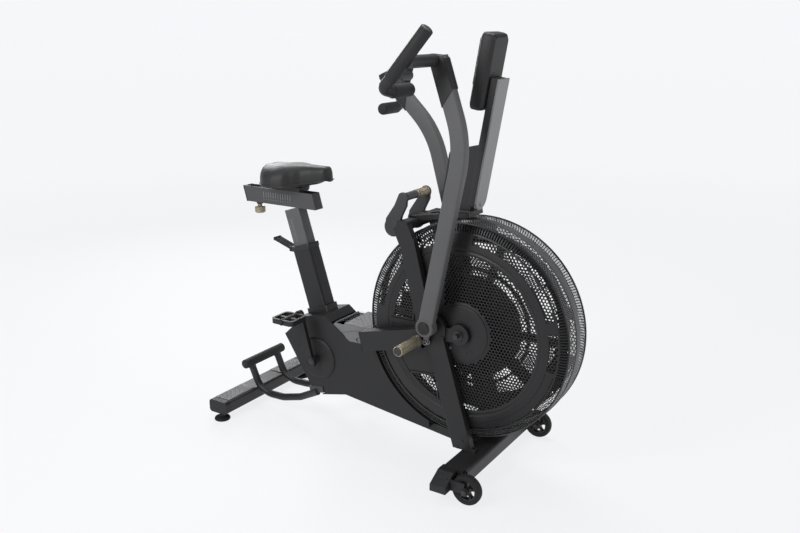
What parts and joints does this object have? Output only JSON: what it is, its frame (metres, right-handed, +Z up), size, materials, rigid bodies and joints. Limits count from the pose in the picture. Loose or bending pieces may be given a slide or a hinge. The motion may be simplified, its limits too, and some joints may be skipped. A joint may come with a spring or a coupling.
{
  "type": "air bike",
  "caption": "Exercise bike with a belt-driven fan in a round guard, swinging arms, pedals, sliding saddle, foot pegs and transport wheels.",
  "frame": {"origin": "on the floor, in the middle plane, under the fan axle", "axes": "+X forward to the fan, +Y to the rider's left, +Z up"},
  "size_m": [1.303, 0.6342, 1.3956],
  "materials": {
    "coat": "fine-textured matte black powder coat",
    "grey_coat": "satin charcoal powder coat",
    "plastic": "fine-grained matte black plastic",
    "rubber": "matte",
    "grip": "soft ribbed",
    "khaki": "khaki anodised, knurled",
    "steel": "machined",
    "tread": "pressed tread",
    "guard": "matte black, perforated",
    "saddle": "grained synthetic cover",
    "screen": "glossy"
  },
  "bodies": {
    "frame": {"rear_stabilizer": "coat", "rear_end_caps": "plastic", "rear_treads": "tread", "front_stabilizer": "coat", "front_end_caps": "plastic", "wheel_axles": "steel", "rear_yoke": "grip", "frame_spine": "coat", "main_rail": "coat", "seat_tube": "coat", "step_housing": "tread", "side_frame_right": "coat", "side_frame_left": "coat", "rod_cover_right": "plastic", "rod_cover_left": "plastic", "top_bridge": "coat", "shroud_right": "plastic", "shroud_left": "plastic", "foot_pegs": "khaki", "arm_pivots": "steel", "cage_right": "guard", "cage_left": "guard", "cage_band": "guard", "hub_covers": "grey_coat", "fan_axle": "steel", "fan_belt": "rubber", "drive_belt": "rubber", "crank_bearings": "steel", "console_mast": "coat", "console": "plastic", "console_screen": "screen"},
    "foot_right": {"levelling_foot_right": "rubber"},
    "foot_left": {"levelling_foot_left": "rubber"},
    "wheel_right": {"wheel_right": "rubber"},
    "wheel_left": {"wheel_left": "rubber"},
    "fan": {"fan_rotor": "grey_coat", "fan_pulley": "steel"},
    "jack": {"jack_shaft": "steel"},
    "crank": {"drive_pulley": "grey_coat", "crank_axle": "steel", "crank_discs": "plastic", "crank_arm_right": "grey_coat", "crank_arm_left": "grey_coat"},
    "pedal_right": {"pedal_right": "plastic"},
    "pedal_left": {"pedal_left": "plastic"},
    "arm_right": {"handle_arm_right": "grey_coat", "handlebar_right": "grip"},
    "arm_left": {"handle_arm_left": "grey_coat", "handlebar_left": "grip"},
    "rod_right": {"connecting_rod_right": "steel"},
    "rod_left": {"connecting_rod_left": "steel"},
    "rest_lever": {"rest_lever": "grey_coat", "rest_grip": "khaki"},
    "seat_post": {"seat_post": "grey_coat", "seat_beam": "coat"},
    "seat_latch": {"seat_latch": "plastic"},
    "seat_slider": {"seat_slider": "plastic", "saddle_pan": "plastic", "saddle_cushion": "saddle"},
    "seat_knob": {"seat_knob": "khaki"}
  },
  "joints": [
    {"name": "crank_spin", "type": "hinge", "parent": "frame", "child": "crank", "pos_m": [-0.58, 0, 0.254], "axis": [0, 1, 0], "continuous": true},
    {"name": "jack_spin", "type": "hinge", "parent": "frame", "child": "jack", "pos_m": [-0.405, 0, 0.358], "axis": [0, 1, 0], "continuous": true},
    {"name": "fan_spin", "type": "hinge", "parent": "frame", "child": "fan", "pos_m": [0, 0, 0.466], "axis": [0, 1, 0], "continuous": true},
    {"name": "pedal_right_spin", "type": "hinge", "parent": "crank", "child": "pedal_right", "pos_m": [-0.62452, -0.164, 0.42014], "axis": [0, 1, 0], "continuous": true},
    {"name": "pedal_left_spin", "type": "hinge", "parent": "crank", "child": "pedal_left", "pos_m": [-0.53548, 0.164, 0.08786], "axis": [0, 1, 0], "continuous": true},
    {"name": "arm_right_swing", "type": "hinge", "parent": "frame", "child": "arm_right", "pos_m": [-0.09, -0.15, 0.49], "axis": [0, 1, 0], "range_deg": [-28, 1]},
    {"name": "arm_left_swing", "type": "hinge", "parent": "frame", "child": "arm_left", "pos_m": [-0.09, 0.15, 0.49], "axis": [0, 1, 0], "range_deg": [-1, 28]},
    {"name": "rod_right_pivot", "type": "hinge", "parent": "arm_right", "child": "rod_right", "pos_m": [-0.10206, -0.124, 0.43123], "axis": [0, 1, 0], "range_deg": [-2, 29]},
    {"name": "rod_left_pivot", "type": "hinge", "parent": "arm_left", "child": "rod_left", "pos_m": [-0.07407, 0.124, 0.43215], "axis": [0, 1, 0], "range_deg": [-29, 2]},
    {"name": "rest_lever_swing", "type": "hinge", "parent": "frame", "child": "rest_lever", "pos_m": [-0.257, 0, 0.773], "axis": [0, 1, 0], "range_deg": [-60, 5]},
    {"name": "seat_height", "type": "slide", "parent": "frame", "child": "seat_post", "axis": [-0.3007, 0, 0.9537], "range_m": [-0.1, 0.06]},
    {"name": "seat_reach", "type": "slide", "parent": "seat_post", "child": "seat_slider", "axis": [1, 0, 0], "range_m": [-0.075, 0.03]},
    {"name": "latch_pull", "type": "hinge", "parent": "frame", "child": "seat_latch", "pos_m": [-0.72927, 0, 0.62041], "axis": [0, 1, 0], "range_deg": [0, 18], "stiffness_Nm_per_rad": 2, "springref_deg": -8.59},
    {"name": "knob_pull", "type": "slide", "parent": "seat_post", "child": "seat_knob", "axis": [0, 0, 1], "range_m": [-0.008, 0], "stiffness_N_per_m": 900, "springref_m": 0.004},
    {"name": "wheel_right_spin", "type": "hinge", "parent": "frame", "child": "wheel_right", "pos_m": [0.125, -0.262, 0.048], "axis": [0, 1, 0], "continuous": true},
    {"name": "wheel_left_spin", "type": "hinge", "parent": "frame", "child": "wheel_left", "pos_m": [0.125, 0.262, 0.048], "axis": [0, 1, 0], "continuous": true},
    {"name": "foot_right_screw", "type": "hinge", "parent": "frame", "child": "foot_right", "pos_m": [-0.904, -0.233, 0], "axis": [0, 0, 1], "range_deg": [-360, 360]},
    {"name": "foot_left_screw", "type": "hinge", "parent": "frame", "child": "foot_left", "pos_m": [-0.904, 0.233, 0], "axis": [0, 0, 1], "range_deg": [-360, 360]}
  ],
  "couplings": [
    {"joint": "jack_spin", "follows": "crank_spin", "ratio": 3.5455},
    {"joint": "fan_spin", "follows": "crank_spin", "ratio": 6.124},
    {"joint": "arm_left_swing", "follows": "arm_right_swing", "ratio": -1},
    {"joint": "rod_right_pivot", "follows": "arm_right_swing", "ratio": -1},
    {"joint": "rod_left_pivot", "follows": "arm_right_swing", "ratio": 1}
  ]
}
